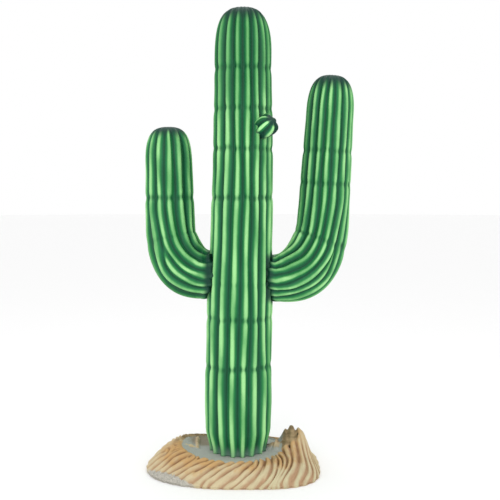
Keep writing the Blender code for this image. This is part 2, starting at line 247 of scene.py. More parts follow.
# Scallops that the ridges cut into the rim and the ground edge
RIM_FINGERS = 0.016
FOOT_FINGERS = 0.006
SLOPE_END = 0.985
HOLLOW_CENTRE_X = -0.036
HOLLOW_HALF_WIDTH = 0.256
HOLLOW_HALF_DEPTH = 0.205
HOLLOW_STEEPNESS = 2.6
FLOOR_RADIUS = 0.15
FLOOR_DROP = 0.0003
RIM_HEIGHT = 0.094
RIM_UNEVENNESS = 0.003
FRONT_DIP = 0.005
LEFT_RISE = 0.028
LEFT_SPREAD = radians(55)
# A hump on the rim behind the left end
BACK_LEFT_RISE = 0.009
BACK_LEFT_PLACE = radians(24)
BACK_LEFT_SPREAD = radians(14)
PEAK_RISE = 0.097
PEAK_X = 0.274
PEAK_Y = 0.05
PEAK_HALF_WIDTH = 0.066
PEAK_HALF_DEPTH = 0.075
SLOPE_STEEPNESS = 1.5
RIGHT_STEEPNESS = 1.9
# Bare rock on the inner face of the peak: its lower edge climbs to the right
BARE_FROM = 0.112
BARE_FROM_X = 0.222
BARE_CLIMB = 0.5
BARE_LEFT_SIDE = (0.15, 0.18)
BARE_RIGHT_SIDE = (0.3, 0.27)
# Sines of the angle from the right, between which the back begins
BACK_SINES = (-0.1, 0.4)
# Notches between the teeth on the peak
NOTCHES_X = (0.238, 0.275)
NOTCH_DEPTH = 0.016
NOTCH_HALF_WIDTH = 0.0075
# Knots: x, y, z, reach and ring width, and the bearing where the rings are plainest
KNOTS = ((-0.345, -0.052, 0.093, 0.076, 0.029), (-0.213, -0.16, 0.098, 0.04, 0.02))
KNOT_BEARING = 0.8
# Small dark holes, and a larger dark patch of painted shade in the gap by the trunk's right foot: x, y and
# radius
HOLES_AND_SHADOW = ((-0.345, -0.052, 0.006), (0.243, -0.032, 0.006), (0.284, 0.021, 0.006), (0.148, 0.052, 0.027))
HOLE_DEPTH = 0.01
# Low ridges that stand in the sand: both ends, height and half width
SAND_RIDGES = (
    ((-0.203, 0.11), (-0.195, 0.000), 0.016, 0.009),
    ((-0.25, 0.01), (-0.2, 0.008), 0.012, 0.01),
    ((0.172, 0.015), (0.186, 0.005), 0.042, 0.025),
)
# The crumbling raw edge is tall on one stretch of the front left
RAW_SIDE = radians(-147)
RAW_SPREAD = radians(24)
RAW_HEIGHT = 0.034
CRUMBLE_DEPTH = 0.008
# The side where the paint is worn pale
WORN_SIDE = -0.75
WORN_SPREAD = 0.55

STAGE_RADIUS = 40
# Each lamp: its name, place, size and share of the key lamp's power
LAMPS = (
    ("front key", (-1.2, -4.2, 2.9), 1.9, 1),
    ("front fill", (2.2, -3.6, 2), 1.6, 0.45),
    ("top light", (0, 0.6, 4.6), 2.4, 0.55),
)
LAMPS_TARGET = (0, 0, 1.05)
# Camera: where the photograph was taken from
CAMERA_PLACE = (0.056, -3.73, 1.3166)
CAMERA_TILT = radians(4.3)
CAMERA_LENS = 57.6


def swatch(name, description, colour):
    """A colour that a user can change."""
    return FloatVectorProperty(
        name=name, description=description, default=colour, subtype="COLOR", min=0.0, max=1.0,
    )


def length(name, description, default):
    """A length that a user can change."""
    return FloatProperty(name=name, description=description, default=default, unit="LENGTH")


class CactusLimbs(PropertyGroup):
    """Sizes that the trunk, the arms and the bud share."""

    rib_depth: length("Rib depth", "From a crest to the groove beside it", 0.0175)
    waist_depth: length("Waist depth", "How far a waist pinches the crests", 0.0052)
    waist_reach: length("Waist reach", "Half the height of a waist", 0.014)
    rib_wander: FloatProperty(
        name="Rib wander", description="How far a rib strays sideways, in rib widths",
        default=0.09,
    )


class CactusPaint(PropertyGroup):
    """Colours of the airbrushed skin."""

    crest: swatch("Crest", "Light green on the rib crests", (0.33, 0.7, 0.28))
    flank: swatch("Flank", "Mid green beside the crests", (0.028, 0.24, 0.07))
    groove: swatch("Groove", "Blue green in the grooves", (0.011, 0.115, 0.05))
    deep: swatch("Deep groove", "Darker line at the bottom of the grooves", (0.006, 0.07, 0.028))
    # Also the colour of painted shade on the trunk's flanks and on the arms' inner sides and undersides
    dim_and_shaded_crest: swatch("Dim crest", "Where the crests are painted thinly", (0.17, 0.5, 0.17))
    # Painted shade: a dark line on the flank of each crest that faces away
    line: swatch("Line", "Dark line on the flanks that face away", (0.007, 0.105, 0.024))
    dab: swatch("Waist dab", "Dark green beside the crests at a waist", (0.006, 0.085, 0.03))
    dust: swatch("Dust", "Grey green on the trunk's foot", (0.165, 0.255, 0.215))
    # Also the colour of painted shade round the arms' roots, low on the trunk's right flank and on the
    # bud's far side
    shade: swatch("Shade", "Dark paint at tips and joints", (0.008, 0.05, 0.034))


class CactusBase(PropertyGroup):
    """Sizes and colours of the base."""

    ridge_height: length("Ridge height", "From a ridge's crest to the furrow beside it", 0.017)
    cream: swatch("Cream", "On the ridges' crests", (0.61, 0.51, 0.315))
    pale: swatch("Pale crest", "Greenish cream low on the right", (0.58, 0.54, 0.34))
    ochre: swatch("Ochre", "Orange brown on the crests by the rim", (0.55, 0.34, 0.145))
    furrow: swatch("Furrow", "Pinkish brown between ridges", (0.47, 0.3, 0.175))
    rust: swatch("Rust", "Deep brown between ridges by the rim", (0.27, 0.145, 0.065))
    sand: swatch("Sand", "Grey sand in the hollow", (0.41, 0.43, 0.39))
    raw: swatch("Raw edge", "Unpainted strip by the ground", (0.485, 0.46, 0.4))
    bare: swatch("Bare rock", "Olive brown on the inner face of the peak", (0.38, 0.28, 0.15))
    bare_dark: swatch("Dark rock", "Dark bands on the inner face of the peak", (0.2, 0.145, 0.07))
    # Also the painted shade in the gap by the trunk's right foot
    hole_and_shadow: swatch("Hole", "Dark brown in the small holes", (0.05, 0.035, 0.02))


class CactusStage(PropertyGroup):
    """The floor and the lights."""

    floor: swatch("Floor", "The pale floor", (0.96, 0.96, 0.96))
    sky: FloatProperty(name="Sky", description="Strength of the even white light", default=1.0)
    key: FloatProperty(name="Key", description="Power of the large front lamp", default=34.0, unit="POWER")


def ease(value):
    """A smooth step from 0 to 1."""
    value = np.clip(value, 0, 1)
    return value * value * (3 - 2 * value)


def ramp(value, start, end):
    """A smooth step from 0 at start to 1 at end, which may be the lower of the two."""
    return ease((value - start) / (end - start))


def dose(value, amount, start, end):
    """An amount that sets in between start and end."""
    return amount * ramp(value, start, end)


def hump(away, reach):
    """A round hump: 1 where away is 0, and nearly 0 at twice the reach."""
    return np.exp(-(away / reach) ** 2)


def crest_wave(turn):
    """From 0 in a groove to 1 on a crest, at a place counted in ribs."""
    return 0.5 + 0.5 * np.cos(tau * turn)


def profile(place, stations):
    """Read values from (place, value) stations, eased between them."""
    result = np.full(np.shape(place), stations[0][1], dtype=float)
    for (low, low_value), (high, high_value) in zip(stations, stations[1:]):
        result += (high_value - low_value) * ramp(place, low, high)
    return result


def smooth_curve(place, stops, values):
    """Read a value from a smooth curve that passes through every stop."""
    stops, values = np.array(stops), np.array(values)
    slopes = np.zeros(len(stops))
    slopes[1:-1] = (values[2:] - values[:-2]) / (stops[2:] - stops[:-2])
    place = np.clip(place, stops[0], stops[-1])
    left = np.clip(np.searchsorted(stops, place, side="right") - 1, 0, len(stops) - 2)
    span = stops[left + 1] - stops[left]
    share = (place - stops[left]) / span
    rest = 1 - share
    start = values[left] * (1 + 2 * share) + slopes[left] * span * share
    end = values[left + 1] * (1 + 2 * rest) - slopes[left + 1] * span * rest
    return start * rest * rest + end * share * share


def ripple(around, along, seed, waves=5, pitch=4):
    """Smooth noise from -1 to 1 that closes round a limb, as a sum of seeded waves."""
    draw = np.random.default_rng(seed)
    total = 0
    for number in range(waves):
        count = draw.integers(1, 9)
        climb = pitch * draw.uniform(0.5, 2)
        total = total + np.sin(count * around + climb * along * tau + draw.uniform(0, tau))
    return total / waves


def dome_steps(count):
    """Height and width shares of a blunt dome's rings, from its foot to its tip."""
    share = np.linspace(0, 1, count)
    sweep = share ** 1.5 / (share ** 1.5 + (1 - share) ** 1.5) * pi / 2
    return np.sin(sweep) ** (2 / 3), np.maximum(np.cos(sweep), 0) ** (2 / 3) * (share < 1)


def add_object(name, data):
    """A new object in the scene."""
    item = bpy.data.objects.new(name, data)
    bpy.context.scene.collection.objects.link(item)
    return item


def bent_grid(name, columns, rows, place):
    """Bend a flat grid into a tube, and close its seam and its ends.

    place takes the vertices' columns and rows, and gives their points and marks for the paint.
    """
    shape = bmesh.new()
    bmesh.ops.create_grid(shape, x_segments=columns, y_segments=rows - 1, size=0.5)
    mesh = bpy.data.meshes.new(name)
    shape.to_mesh(mesh)
    shape.free()
    flat = np.empty(len(mesh.vertices) * 3)
    mesh.vertices.foreach_get("co", flat)
    flat = flat.reshape(-1, 3) + 0.5
    column = np.rint(flat[:, 0] * columns).astype(int) % columns
    row = np.rint(flat[:, 1] * (rows - 1)).astype(int)
    points, marks = place(column, row)
    mesh.vertices.foreach_set("co", points.astype(np.float32).ravel())
    for mark, values in marks.items():
        layer = mesh.attributes.new(mark, "FLOAT", "POINT")
        layer.data.foreach_set("value", np.broadcast_to(values, column.shape).astype(np.float32))
    shape = bmesh.new()
    shape.from_mesh(mesh)
    bmesh.ops.remove_doubles(shape, verts=shape.verts, dist=0.00001)
    bmesh.ops.holes_fill(shape, edges=[edge for edge in shape.edges if edge.is_boundary], sides=0)
    bmesh.ops.recalc_face_normals(shape, faces=shape.faces)
    bmesh.ops.triangulate(shape, faces=[face for face in shape.faces if len(face.verts) > 4])
    shape.to_mesh(mesh)
    shape.free()
    mesh.shade_smooth()
    return add_object(name, mesh)


def seat(piece, material, slot, *nodes):
    """Finish a piece: its material, its body and the nodes that it replaces. The slot is not used."""
    piece.data.materials.append(material)
    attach(piece, "root")
    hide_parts(*nodes)


class Value:
    """A shader socket that can be used in arithmetic."""

    def __init__(self, finish, socket):
        self.finish = finish
        self.socket = socket

    def math(self, operation, *values):
        return self.finish.node("ShaderNodeMath", {"operation": operation}, dict(enumerate(values)))

    def __add__(self, other):
        return self.math("ADD", self, other)

    def __sub__(self, other):
        return self.math("SUBTRACT", self, other)

    def __rsub__(self, other):
        return self.math("SUBTRACT", other, self)

    def __mul__(self, other):
        return self.math("MULTIPLY", self, other)

    def __pow__(self, other):
        return self.math("POWER", self, other)

    __radd__ = __add__
    __rmul__ = __mul__


class Finish:
    """A Principled material, built up from values that vary over the surface."""

    def __init__(self, name, colour, roughness, specular, coat=0):
        self.material = bpy.data.materials.new(name)
        self.material.use_nodes = True
        self.material.diffuse_color = (*colour, 1)
        self.tree = self.material.node_tree
        self.shader = self.tree.nodes["Principled BSDF"]
        constants = {
            "Base Color": (*colour, 1),
            "Roughness": roughness,
            "Specular IOR Level": specular,
            "Coat Weight": coat,
            "Coat Roughness": 0.15,
        }
        for socket, value in constants.items():
            self.shader.inputs[socket].default_value = value

    def node(self, kind, settings, sockets, output=0):
        """Add a node: its settings come first, then the values or links of its sockets."""
        node = self.tree.nodes.new(kind)
        for name, setting in settings.items():
            setattr(node, name, setting)
        for name, value in sockets.items():
            socket = node.inputs[name]
            if isinstance(value, Value):
                self.tree.links.new(value.socket, socket)
            else:
                socket.default_value = (*value, 1) if socket.type == "RGBA" else value
        return Value(self, node.outputs[output])

    def mark(self, name):
        """A mark that the mesh carries."""
        return self.node("ShaderNodeAttribute", {"attribute_name": name}, {}, "Fac")

    def noise(self, scale, detail=2, stretch=(1, 1, 1), roughness=0.5):
        """Noise from 0 to 1 over the object's own coordinates."""
        place = self.node("ShaderNodeTexCoord", {}, {}, "Object")
        stretched = self.node("ShaderNodeMapping", {}, {"Vector": place, "Scale": stretch})
        sockets = {"Vector": stretched, "Scale": scale, "Detail": detail, "Roughness": roughness}
        return self.node("ShaderNodeTexNoise", {}, sockets, "Fac")

    def step(self, value, low, high):
        """A smooth step of a value from 0 at low to 1 at high."""
        sockets = {"Value": value, "From Min": low, "From Max": high}
        return self.node("ShaderNodeMapRange", {"interpolation_type": "SMOOTHSTEP"}, sockets)

    def blend(self, share, first, second):
        """Mix two colours."""
        sockets = {"Factor": share, 6: first, 7: second}
        return self.node("ShaderNodeMix", {"data_type": "RGBA"}, sockets, 2)

    def tint(self, colour, strength):
        """A colour multiplied by a value."""
        sockets = {0: colour, "Scale": strength}
        return self.node("ShaderNodeVectorMath", {"operation": "SCALE"}, sockets)

    def set(self, name, value):
        """Feed one of the shader's sockets."""
        self.tree.links.new(value.socket, self.shader.inputs[name])

    def bump(self, height, distance, strength):
        """Raise fine relief on the surface."""
        sockets = {"Height": height, "Distance": distance, "Strength": strength}
        self.set("Normal", self.node("ShaderNodeBump", {}, sockets))


def skin_finish():
    """Airbrushed resin: light crests, mid flanks, blue-green grooves, dark tips and joints, with painted
    shade and one painted highlight.
    """
    paint = bpy.context.scene.cactus_paint
    skin = Finish("airbrushed skin", paint.flank, 0.4, 0.14, 0.05)
    rib, waist, shadow, tone, shade_side = map(skin.mark, ("rib", "waist", "shadow", "tone", "shade_side"))
    cloud = skin.noise(34, 3, (1, 1, 0.35)) - 0.5
    speck = skin.noise(230, 2) - 0.5
    edge = rib + cloud * 0.14 + speck * 0.05 - waist * 0.2 + tone * 0.08
    groove = skin.blend(skin.step(rib + cloud * 0.1, 0, 0.11), paint.deep, paint.groove)
    green = skin.blend(skin.step(edge, 0.1, 0.62), groove, paint.flank)
    # Painted shade: a dark line on the flank of each crest that faces away, where the light crest paint is
    # also narrowed
    beside = skin.step(rib, 0.08, 0.4) * (1 - skin.step(rib, 0.66, 0.92))
    shade_lined = skin.blend(beside * skin.step(shade_side, 0, 0.75) * 0.85, green, paint.line)
    # Crests dim where the paint is thin, and where painted shade falls on flanks, inner sides and
    # undersides
    crest = skin.blend(skin.step(tone + cloud * 0.9, -0.75, 0.45), paint.dim_and_shaded_crest, paint.crest)
    lit = skin.blend(skin.step(edge - shade_side * 0.1, 0.57, 0.98), shade_lined, crest)
    dab = skin.step(waist ** 0.7 * (0.6 + 0.4 * beside) + cloud * 0.5, 0.22, 1.05)
    dabbed = skin.blend(dab * 0.8, lit, paint.dab)
    dusky = skin.blend(skin.step(shadow + cloud * 0.25, 0.05, 0.95), dabbed, paint.shade)
    # A high tone brightens the colour: the painted highlight on the bud's middle rib
    mottled = skin.tint(dusky, 1 + 0.14 * cloud + 0.06 * speck + tone * 0.1)
    skin.set("Base Color", skin.blend(skin.mark("dust"), mottled, paint.dust))
    skin.set("Roughness", 0.43 + 0.12 * cloud + 0.06 * speck)
    skin.bump(skin.noise(90, 3), 0.0012, 0.35)
    return skin.material


def trunk_x(height):
    """How far the trunk's middle has leaned at a height."""
    return TRUNK_LEAN * ramp(height, *LEAN_HEIGHTS)


def trunk_angle(turn):
    """Angle from the front of a place counted in ribs, closer together on the right."""
    even = tau * turn / TRUNK_RIBS
    angle = even
    for _ in range(12):
        angle = even + RIB_CROWDING * (np.cos(angle) - 1)
    return angle


def ribbed(radius, wave, pinch, swell, depth, swelling):
    """A limb's radius with its ribs, its waists and the swelling below each waist.

    A crest narrows where a waist pinches it.
    """
    narrowing = RIB_SHARPNESS + WAIST_SHARPENING * np.clip(pinch, 0, PINCH_LIMIT)
    waist_depth = bpy.context.scene.cactus_limbs.waist_depth
    waist = waist_depth * pinch * (GROOVE_PINCH + (1 - GROOVE_PINCH) * wave)
    return radius + depth * (wave ** narrowing - 1) - waist + swelling * swell * wave


def waist_pinch(around, along, waists, reach, seed):
    """How strongly each point is pinched: every rib a little higher or lower than the next."""
    pinch = 0
    swell = 0
    for number, (place, strength) in enumerate(waists):
        shift = WAIST_SHIFT * ripple(around * 2, 0, seed + number)
        power = strength * (0.78 + 0.42 * ripple(around * 3, 0, seed + number + 40))
        away = (along - place - shift) / reach
        pinch = pinch + np.clip(power, 0.1, PINCH_LIMIT) * hump(away, 1)
        swell = swell + strength * hump(away + 3.2, 2.2)
    return pinch, swell


def trunk_tone_and_shade(angle, height):
    """Where the trunk's crests are dimmed: thin paint near the top, painted shade on the flanks and low on
    the right.
    """
    side = np.sin(angle)
    tone = ripple(angle * 3, height, 30, waves=7, pitch=2)
    tone -= dose(height, *TOP_DIMNESS)
    tone -= dose(height, *FLANK_SHADE) * ramp(np.abs(side), *FLANK_SINES)
    return tone - dose(height, *LOW_RIGHT_SHADE) * ramp(side, *FLANK_SINES)


def way_out(arm):
    """The level direction in which an arm leaves the trunk."""
    return np.array([cos(arm.direction), sin(arm.direction), 0])


def trunk_shade(point, angle, height):
    """Darkening on the trunk: dark paint at its tip, dark paint and painted shade round the arms' roots,
    painted shade low on its right flank.
    """
    shade = tip_shade(TRUNK_TOP - height, angle, TRUNK_TIP_REACH, 52)
    shade = np.maximum(shade, dose(height, *FOOT_SHADE) * ramp(np.sin(angle), *FLANK_SINES))
    for arm in (LEFT_ARM, RIGHT_ARM):
        sideways = point @ np.cross(UPWARD, way_out(arm)) / (1 - JOINT_FLATTENING)
        level = arm.bend_height - arm.bend_radius
        away = (sideways ** 4 + (point[:, 2] - level) ** 4) ** 0.25
        near = ramp(away - arm.radii[0], *TRUNK_JOINT_SHADE)
        near *= ramp(point @ way_out(arm), *TRUNK_JOINT_OUT)
        shade = np.maximum(shade, arm.trunk_shade * near)
    return shade


def make_trunk():
    """The trunk, with waists, straying ribs and a blunt dome."""
    limbs = bpy.context.scene.cactus_limbs
    shoulder = TRUNK_TOP - TRUNK_DOME
    rise, narrow = dome_steps(TRUNK_DOME_ROWS)
    straight = np.linspace(FOOT_HEIGHT, shoulder, TRUNK_ROWS)[:-1]
    heights = np.concatenate([straight, shoulder + TRUNK_DOME * rise])
    widths = np.concatenate([np.ones(len(straight)), narrow])

    def place(column, row):
        height, width = heights[row], widths[row]
        crest = column / TRUNK_RIB_COLUMNS
        angle = trunk_angle(crest - 0.5)
        aside = ramp(angle, *LOW_TWIST_SETS_IN) * ramp(angle, *LOW_TWIST_ENDS)
        angle = angle + LOW_TWIST * aside * ramp(height, *LOW_TWIST_HEIGHTS)
        wave = crest_wave(crest)
        pinch, swell = waist_pinch(angle, height, TRUNK_WAISTS, limbs.waist_reach, 3)
        radius = profile(height, TRUNK_GIRTH)
        radius = ribbed(radius, wave, pinch, swell, limbs.rib_depth, TRUNK_SWELLING)
        radius += TRUNK_UNEVENNESS * ripple(angle * 2, height, 21, pitch=2.5) * wave
        radius *= width
        stray = limbs.rib_wander * tau / TRUNK_RIBS
        angle = angle + stray * ripple(angle, height, 8, pitch=1.1) * width
        across = trunk_x(height) + np.sin(angle) * radius
        point = np.stack([across, -np.cos(angle) * radius, height], axis=1)
        marks = {
            "rib": wave,
            "waist": pinch,
            "shadow": trunk_shade(point, angle, height),
            "tone": trunk_tone_and_shade(angle, height),
            "dust": dose(height, *DUST) * (0.75 - 0.4 * wave),
            # Painted shade on the flank of each rib that faces away from the front
            "shade_side": np.sin(tau * crest) * np.clip(1.5 * np.sin(angle), -1, 1),
        }
        return point, marks

    return bent_grid("cactus_trunk", TRUNK_RIBS * TRUNK_RIB_COLUMNS, len(heights), place)


def to_trunk_skin(point):
    """Distance from a point to the trunk's crests, below zero inside them."""
    off_centre = np.hypot(point[:, 0] - trunk_x(point[:, 2]), point[:, 1])
    return off_centre - profile(point[:, 2], TRUNK_GIRTH)


def tip_shade(below, angle, reach, seed):
    """Dark paint round a tip: it runs further down some grooves than others."""
    reach = reach * (1 + TIP_UNEVENNESS * ripple(angle * 3, 0, seed))
    return ease(1 - below / reach)


def rib_turn(rib, place, arm):
    """How far an arm's rib turns round it, at a place counted in bend lengths."""
    turns = arm.rib_turns.get(rib % arm.ribs, (0,) * len(TURN_PLACES))
    return np.radians(smooth_curve(place, TURN_PLACES, turns))


def arm_tone_and_shade(column, angle, wave, place, arm):
    """Where an arm's ribs are dimmed: some ribs one at a time, partly as painted shade, and painted shade
    on the inner side and the underside.
    """
    nearest = (column + RIB_COLUMNS // 2) // RIB_COLUMNS % arm.ribs
    down = np.cos(angle)
    tone = -arm.inner_shade * ramp(down, *INNER_COSINES) * ramp(place, *INNER_PLACES)
    tone -= arm.under_shade * ramp(down, *UNDER_COSINES) * ramp(place, *UNDER_PLACES)
    for rib, tones in arm.rib_tones_and_shade.items():
        tone += smooth_curve(place, TURN_PLACES, tones) * ramp(wave, 0, 0.5) * (nearest == rib)
    return tone


def arm_ribs(column, place, arm):
    """Where the ribs of an arm lie, with one more in the bend that rises out of a groove.

    Gives each column's angle round the arm, its height from groove to crest, and its flank.
    """
    gap = tau / arm.ribs
    rib = column // RIB_COLUMNS
    across = column % RIB_COLUMNS / RIB_COLUMNS
    turn = np.zeros(len(column))
    for number in range(arm.ribs):
        here = rib == number
        before = rib_turn(number, place[here], arm)
        after = rib_turn(number + 1, place[here], arm)
        turn[here] = before + (after - before) * across[here]
    angle = arm.first_rib + (rib + across) * gap + turn
    share = smooth_curve(place, TURN_PLACES, arm.split_share)
    doubled = np.where(across < share, across / share, 1 + (across - share) / (1 - share))
    extra = ease((arm.split_from - place) / SPLIT_FADE) * (rib == arm.split_gap)
    wave = crest_wave(across)
    wave += (crest_wave(doubled) - wave) * extra
    flank = np.sin(tau * across)
    flank += (np.sin(tau * doubled) - flank) * extra
    return angle, wave, flank


def seam_push(point, side, radius, flattening):
    """How far an arm's skin moves sideways at its seam: out, and tucked in inside the trunk."""
    depth = to_trunk_skin(point)
    fuller = side * (1 + SEAM_FULLNESS) / (1 + SEAM_FULLNESS * np.abs(side))
    push = (fuller - side) * radius * flattening + SEAM_FLARE * fuller
    push *= ramp(depth, SEAM_REACH, 0)
    inside = ramp(depth, *SEAM_INSIDE)
    return push * (1 - inside) - SEAM_TUCK * inside * side


def make_arm(arm):
    """One arm: its bend out of the trunk, its upright and its domed tip, in one piece."""
    limbs = bpy.context.scene.cactus_limbs
    seed = arm.seed
    outward = way_out(arm)
    frontward = np.cross(outward, UPWARD) * np.sign(outward[0])
    full_turn = pi / 2 - arm.lean
    bend_length = full_turn * arm.bend_radius
    above_z = sin(full_turn)
    start_height = arm.bend_height - arm.bend_radius * cos(full_turn)
    full_climb = (arm.top - start_height) / above_z
    shoulder = full_climb - arm.dome
    rise, narrow = dome_steps(ARM_DOME_ROWS)
    bend = np.linspace(BEND_START, 1, BEND_ROWS)
    upright = np.linspace(0, shoulder, int(shoulder / ARM_ROW_HEIGHT))[1:-1]
    sweeps = np.concatenate([bend, np.ones(len(upright) + len(rise))])
    climbs = np.concatenate([np.zeros(len(bend)), upright, shoulder + arm.dome * rise])
    widths = np.concatenate([np.ones(len(bend) + len(upright)), narrow])
    at_trunk, in_bend, above_bend, at_shoulder = arm.radii
    girth = ((0, at_trunk), (0.5, in_bend), (1, above_bend))
    waists = [((height - start_height) / above_z + bend_length, power) for height, power in arm.waists]
    waists += [(share * bend_length, power) for share, power in arm.bend_waists]

    def place(column, row):
        sweep, climb, width = sweeps[row], climbs[row], widths[row]
        along = sweep * bend_length + climb
        angle, wave, flank = arm_ribs(column, along / bend_length, arm)
        turned = sweep * full_turn
        corner = BEND_CORNER * np.sin(pi * np.maximum(sweep, 0) ** CORNER_LOWERING) ** 2
        bend_reach = arm.bend_radius * (1 + corner)
        outer = np.outer(np.sin(turned), outward) - np.outer(np.cos(turned), UPWARD)
        forward = np.outer(np.cos(turned), outward) + np.outer(np.sin(turned), UPWARD)
        centre = outward * arm.bend_out + UPWARD * arm.bend_height
        middle = centre + outer * bend_reach[:, None] + forward * climb[:, None]
        pinch, swell = waist_pinch(angle, along, waists, limbs.waist_reach, seed)
        radius = profile(sweep, girth)
        radius += (at_shoulder - above_bend) * np.clip(climb / shoulder, 0, 1)
        depth = limbs.rib_depth * ARM_RIB_SHARE * radius / in_bend
        radius = ribbed(radius, wave, pinch, swell, depth, ARM_SWELLING)
        radius += ARM_UNEVENNESS * ripple(angle * 2, along, seed + 1, pitch=3) * wave
        radius *= width
        stray = limbs.rib_wander * tau / arm.ribs
        turned_angle = angle + stray * ripple(angle, along, seed + 2, pitch=1.6) * width
        flattening = 1 - JOINT_FLATTENING * ramp(sweep, 1, 0)
        side = np.sin(turned_angle)
        spoke = outer * np.cos(turned_angle)[:, None] + frontward * (side * flattening)[:, None]
        point = middle + spoke * radius[:, None]
        point += frontward * seam_push(point, side, radius, flattening)[:, None]
        joint = dose(to_trunk_skin(point), *JOINT_SHADE)
        root = 1 - (point @ outward - arm.shade_from) / ROOT_SHADE_WIDTH
        joint = np.maximum(joint, ROOT_SHADE * np.clip(root, 0, 1))
        tone = ripple(angle * 3, along, seed + 30, waves=7, pitch=3) - ARM_DIMNESS
        marks = {
            "rib": wave,
            "waist": pinch,
            "shadow": np.maximum(joint, tip_shade(full_climb - climb, angle, arm.tip_reach, seed + 50)),
            "tone": tone + arm_tone_and_shade(column, angle, wave, along / bend_length, arm),
            # Painted shade on the flank of each rib that faces away
            "shade_side": -flank * np.cos(angle),
        }
        return point, marks

    return bent_grid("cactus_" + arm.name, arm.ribs * RIB_COLUMNS, len(sweeps), place)


def make_bud():
    """The bud: a short ribbed barrel that rises from the front right of the trunk."""
    outward = np.array([sin(BUD_SIDE_ANGLE), -cos(BUD_SIDE_ANGLE), 0])
    axis = outward * cos(BUD_RISE_ANGLE) + UPWARD * sin(BUD_RISE_ANGLE)
    sideways = np.cross(UPWARD, outward)
    upper = np.cross(axis, sideways)
    root = outward * (profile(BUD_HEIGHT, TRUNK_GIRTH) - BUD_SINK)
    root += (trunk_x(BUD_HEIGHT), 0, BUD_HEIGHT)
    rise, narrow = dome_steps(BUD_DOME_ROWS)
    barrel = BUD_LENGTH * (BUD_FOOT_SHARE + (1 - BUD_FOOT_SHARE) * rise)
    climbs = np.concatenate([np.linspace(-BUD_ROOT, 0, BUD_ROOT_ROWS)[:-1], barrel])
    widths = np.concatenate([np.linspace(*BUD_ROOT_WIDTHS, BUD_ROOT_ROWS)[:-1], narrow])

    def place(column, row):
        climb, width = climbs[row], widths[row]
        turn = column / RIB_COLUMNS
        angle = np.radians(np.interp(turn, np.arange(BUD_RIBS + 1), BUD_RIB_ANGLES))
        nearest = np.floor(turn + 0.5).astype(int) % BUD_RIBS
        wave = crest_wave(turn)
        radius = (BUD_RADIUS + BUD_RIB_DEPTH * (wave ** 1.2 - 1)) * width
        spoke = np.outer(np.cos(angle), sideways) + np.outer(np.sin(angle), upper)
        joint = ramp(climb, 0.028, 0.004)
        tip = ramp(climb, BUD_LENGTH - 0.008, BUD_LENGTH)
        # Painted shade in the bud's grooves, more on the side turned away, and on its far side
        turned_away = ease(spoke @ np.array([0.8, 0, -0.5]) * 1.4)
        far_side = ramp(spoke[:, 0], 0.45, 0.75)
        shadow = 0.7 * joint + 0.8 * tip + (0.35 + 0.3 * turned_away) * (1 - wave) + 0.8 * far_side
        marks = {
            "rib": wave ** np.array(BUD_RIB_THINNING)[nearest],
            "waist": 0,
            "shadow": np.clip(shadow, 0, 1),
            # The middle rib carries a painted highlight
            "tone": np.array(BUD_RIB_TONES_AND_HIGHLIGHT)[nearest] * ramp(wave, 0, 0.6),
            # The flank that takes the painted shade line on each of the bud's ribs
            "shade_side": np.sin(tau * turn),
        }
        return root + np.outer(climb, axis) + spoke * radius[:, None], marks

    return bent_grid("cactus_bud", BUD_RIBS * RIB_COLUMNS, len(climbs), place)


def oval_reach(angle, along_x, along_y, squareness):
    """Distance from the middle of an oval to its edge, in each direction."""
    x_share = np.abs(np.cos(angle)) / along_x
    y_share = np.abs(np.sin(angle)) / along_y
    return (x_share ** squareness + y_share ** squareness) ** (-1 / squareness)


def turn_from(angle, middle):
    """Angle from a middle direction, at most half a turn to either side."""
    return np.remainder(angle - middle + pi, tau) - pi


def base_edge(angle):
    """Points on the ground outline of the base."""
    on_left = np.cos(angle) < 0
    along_x = np.where(on_left, BASE_LEFT, BASE_RIGHT)
    along_y = np.where(np.sin(angle) < 0, BASE_FRONT, BASE_BACK)
    squareness = np.where(on_left, SQUARENESS_LEFT, SQUARENESS_RIGHT)
    reach = oval_reach(angle, along_x, along_y, squareness)
    return np.stack([reach * np.cos(angle), reach * np.sin(angle)], axis=1)


def hollow_edge(angle, share):
    """Points on the rim of the hollow, or on smaller rings between it and the floor."""
    reach = oval_reach(angle, HOLLOW_HALF_WIDTH, HOLLOW_HALF_DEPTH, 2)
    reach = FLOOR_RADIUS + (reach - FLOOR_RADIUS) * share
    return np.stack([HOLLOW_CENTRE_X * share + reach * np.cos(angle), reach * np.sin(angle)], axis=1)


def rim_height(angle):
    """Height of the rim: higher on the left, with a hump at the back left, lower in front."""
    from_left = turn_from(angle, pi)
    top = RIM_HEIGHT + LEFT_RISE * hump(from_left, LEFT_SPREAD)
    top += BACK_LEFT_RISE * hump(from_left + BACK_LEFT_PLACE, BACK_LEFT_SPREAD)
    top += RIM_UNEVENNESS * ripple(angle * 5, 0, 33)
    return top - FRONT_DIP * np.clip(-np.sin(angle), 0, 1)


def peak_height(x, y):
    """Height that the peak on the right adds, steep on both sides."""
    across = ((x - PEAK_X) / PEAK_HALF_WIDTH) ** 4
    along = ((y - PEAK_Y) / PEAK_HALF_DEPTH) ** 2
    return PEAK_RISE * np.exp(-across - along)


def ridge_line(turn, share):
    """Angle of the line at a place counted in ridges, at a share of the way up to the rim."""
    count = len(RIDGES)
    stops = np.arange(-1, count + 2)
    table = np.array(RIDGES)[stops % count]
    table[:, :2] += 360 * np.floor(stops / count)[:, None]
    ground, rim, lateness = (smooth_curve(turn, stops, column) for column in table.T)
    return np.radians(ground + (rim - ground) * share ** lateness)


